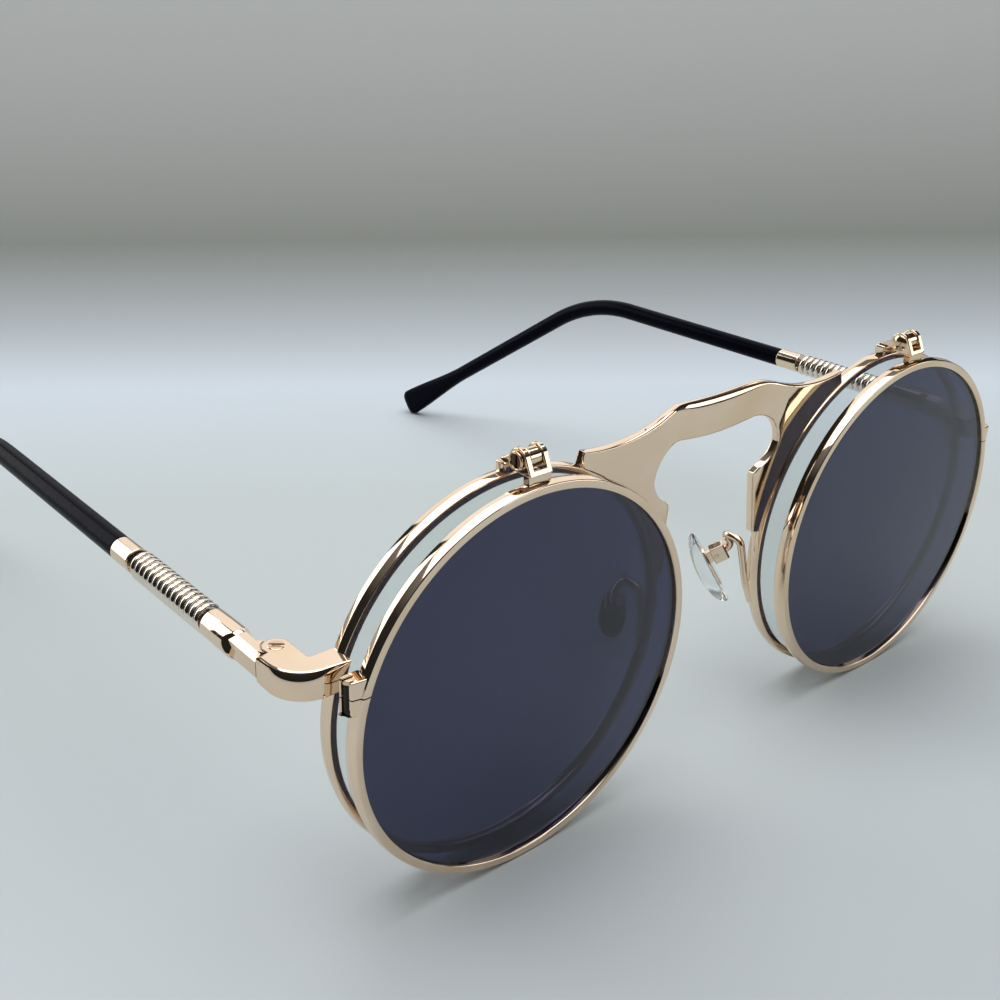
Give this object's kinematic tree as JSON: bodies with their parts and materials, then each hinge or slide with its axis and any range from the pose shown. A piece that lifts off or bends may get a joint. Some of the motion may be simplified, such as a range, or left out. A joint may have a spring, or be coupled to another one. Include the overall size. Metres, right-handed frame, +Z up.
{
  "type": "flip up sunglasses",
  "caption": "Round metal sunglasses whose tinted lenses flip up from clear ones, with keyhole bridge, spring-wound temples and black tips.",
  "frame": {"origin": "middle of the floor under the whole pair, standing open on its flip rims and temple tips", "axes": "+X to the wearer's left, +Y from the lenses towards the temple tips, +Z up"},
  "size_m": [0.1308, 0.1544, 0.0531],
  "materials": {
    "gold_plated_metal": "polished champagne gold plating",
    "gold_plated_screw": "polished gold plating",
    "steel_wire": "drawn wire",
    "clear_lens": "clear polished",
    "tinted_lens": "dark blue-grey tint, polished",
    "black_plastic": "glossy",
    "clear_plastic": "clear moulded"
  },
  "bodies": {
    "frame": {"bridge": "gold_plated_metal", "back_rim_left": "gold_plated_metal", "back_rim_right": "gold_plated_metal", "clear_lens_left": "clear_lens", "clear_lens_right": "clear_lens", "back_rim_screw_left": "gold_plated_screw", "back_rim_screw_right": "gold_plated_screw", "endpiece_left": "gold_plated_metal", "endpiece_right": "gold_plated_metal", "hinge_screw_left": "gold_plated_screw", "hinge_screw_right": "gold_plated_screw", "pad_arm_left": "gold_plated_metal", "pad_arm_right": "gold_plated_metal", "pad_screw_left": "gold_plated_screw", "pad_screw_right": "gold_plated_screw", "flip_base_left": "gold_plated_metal", "flip_base_right": "gold_plated_metal"},
    "temple_left": {"temple_block_left": "gold_plated_metal", "temple_spring_left": "gold_plated_metal", "temple_ferrule_left": "gold_plated_metal", "temple_core_left": "steel_wire", "temple_tip_left": "black_plastic"},
    "flip_left": {"flip_rim_left": "gold_plated_metal", "tinted_lens_left": "tinted_lens", "flip_rim_screw_left": "gold_plated_screw", "flip_bracket_left": "gold_plated_metal", "flip_screw_left": "gold_plated_screw"},
    "pad_left": {"nose_pad_left": "clear_plastic", "pad_core_left": "gold_plated_metal"},
    "temple_right": {"temple_block_right": "gold_plated_metal", "temple_spring_right": "gold_plated_metal", "temple_ferrule_right": "gold_plated_metal", "temple_core_right": "steel_wire", "temple_tip_right": "black_plastic"},
    "flip_right": {"flip_rim_right": "gold_plated_metal", "tinted_lens_right": "tinted_lens", "flip_rim_screw_right": "gold_plated_screw", "flip_bracket_right": "gold_plated_metal", "flip_screw_right": "gold_plated_screw"},
    "pad_right": {"nose_pad_right": "clear_plastic", "pad_core_right": "gold_plated_metal"}
  },
  "joints": [
    {"name": "temple_fold_left", "type": "hinge", "parent": "frame", "child": "temple_left", "pos_m": [0.062, -0.0656, 0.03346], "axis": [0, -0.065, 0.9979], "range_deg": [0, 78]},
    {"name": "flip_up_left", "type": "hinge", "parent": "frame", "child": "flip_left", "pos_m": [0.035, -0.0747, 0.05171], "axis": [-1, 0, 0], "range_deg": [0, 95]},
    {"name": "pad_rock_left", "type": "hinge", "parent": "frame", "child": "pad_left", "pos_m": [0.0108, -0.06298, 0.02251], "axis": [0.6428, 0.7644, 0.0498], "range_deg": [-8, 8]},
    {"name": "temple_fold_right", "type": "hinge", "parent": "frame", "child": "temple_right", "pos_m": [-0.062, -0.0656, 0.03346], "axis": [0, 0.065, -0.9979], "range_deg": [0, 88]},
    {"name": "flip_up_right", "type": "hinge", "parent": "frame", "child": "flip_right", "pos_m": [-0.035, -0.0747, 0.05171], "axis": [-1, 0, 0], "range_deg": [0, 95]},
    {"name": "pad_rock_right", "type": "hinge", "parent": "frame", "child": "pad_right", "pos_m": [-0.0108, -0.06298, 0.02251], "axis": [-0.6428, 0.7644, 0.0498], "range_deg": [-8, 8]}
  ]
}
